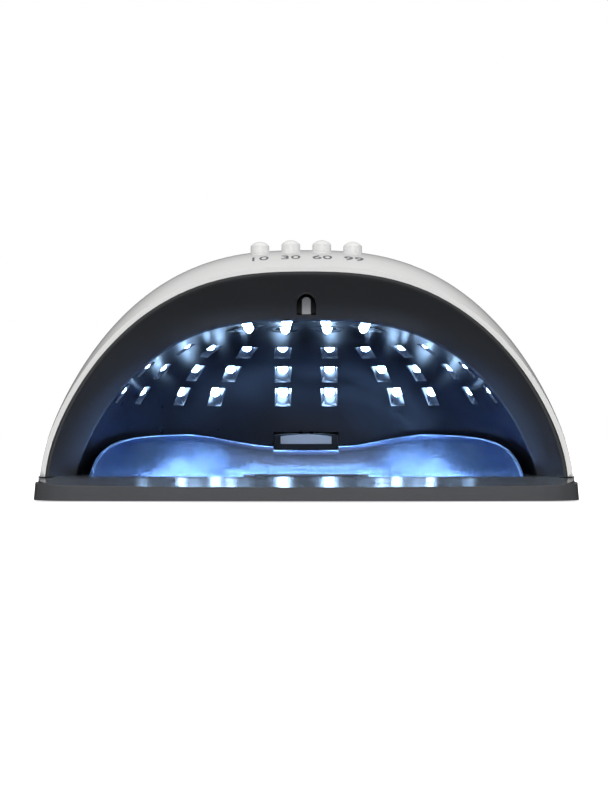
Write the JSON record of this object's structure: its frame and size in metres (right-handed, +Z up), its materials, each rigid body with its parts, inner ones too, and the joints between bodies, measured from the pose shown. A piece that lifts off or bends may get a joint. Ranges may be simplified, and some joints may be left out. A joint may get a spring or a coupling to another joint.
{
  "type": "uv curing lamp",
  "caption": "Domed table-top curing lamp: glossy shell, dark funnel front, pocketed inner dome of LEDs, push buttons on top, loose tray with a polished reflector wall",
  "frame": {"origin": "on the table, under the middle of the tray", "axes": "+Z up, +X across, -Y towards the hand opening"},
  "size_m": [0.23, 0.208, 0.1128],
  "materials": {
    "shell_white": "high gloss white",
    "button_white": "gloss white",
    "bezel_dark": "gloss dark grey",
    "inner_dark": "satin blue-black",
    "tray_grey": "gloss dark grey",
    "mirror": "polished",
    "dark_metal": "black",
    "steel": "plated",
    "aluminium": "satin",
    "magnet": "nickel plated",
    "rubber": "matte",
    "smoked_window": "smoked, gloss",
    "sensor_grey": "infrared window, gloss",
    "led_lens": "clear lens",
    "black_plastic": "moulded",
    "board_green": "solder mask",
    "lead_red": "insulated wire",
    "lead_black": "insulated wire"
  },
  "bodies": {
    "tray": {"tray_base": "tray_grey", "tray_mirror": "mirror", "tray_reflector": "mirror", "tray_clamp_bar": "dark_metal", "clamp_screws": "steel", "keeper_discs": "steel", "rubber_feet": "rubber"},
    "housing": {"outer_shell": "shell_white", "display_window": "smoked_window", "inner_shell": "inner_dark", "led_tiles": "aluminium", "led_beads": "led_lens", "front_bezel": "bezel_dark", "bezel_screws": "steel", "front_sensor_lens": "sensor_grey", "front_sensor_board": "board_green", "rear_sensor_frame": "black_plastic", "rear_sensor_window": "sensor_grey", "rear_sensor_board": "board_green", "base_ring": "black_plastic", "base_magnets": "magnet", "base_screws": "steel", "control_board": "board_green", "board_screws": "steel", "switch_bodies": "black_plastic", "display_module": "black_plastic", "dc_jack": "black_plastic", "dc_jack_pin": "steel", "jack_lead_plus": "lead_red", "jack_lead_minus": "lead_black"},
    "key_short": {"button_short": "button_white", "plunger_short": "black_plastic"},
    "key_medium": {"button_medium": "button_white", "plunger_medium": "black_plastic"},
    "key_long": {"button_long": "button_white", "plunger_long": "black_plastic"},
    "key_hold": {"button_hold": "button_white", "plunger_hold": "black_plastic"}
  },
  "joints": [
    {"name": "housing_lift", "type": "slide", "parent": "tray", "child": "housing", "axis": [0, 0, 1], "range_m": [0, 0.06]},
    {"name": "press_short", "type": "slide", "parent": "housing", "child": "key_short", "axis": [0, 0, -1], "range_m": [0, 0.0008], "stiffness_N_per_m": 400},
    {"name": "press_medium", "type": "slide", "parent": "housing", "child": "key_medium", "axis": [0, 0, -1], "range_m": [0, 0.0008], "stiffness_N_per_m": 400},
    {"name": "press_long", "type": "slide", "parent": "housing", "child": "key_long", "axis": [0, 0, -1], "range_m": [0, 0.0008], "stiffness_N_per_m": 400},
    {"name": "press_hold", "type": "slide", "parent": "housing", "child": "key_hold", "axis": [0, 0, -1], "range_m": [0, 0.0008], "stiffness_N_per_m": 400}
  ]
}
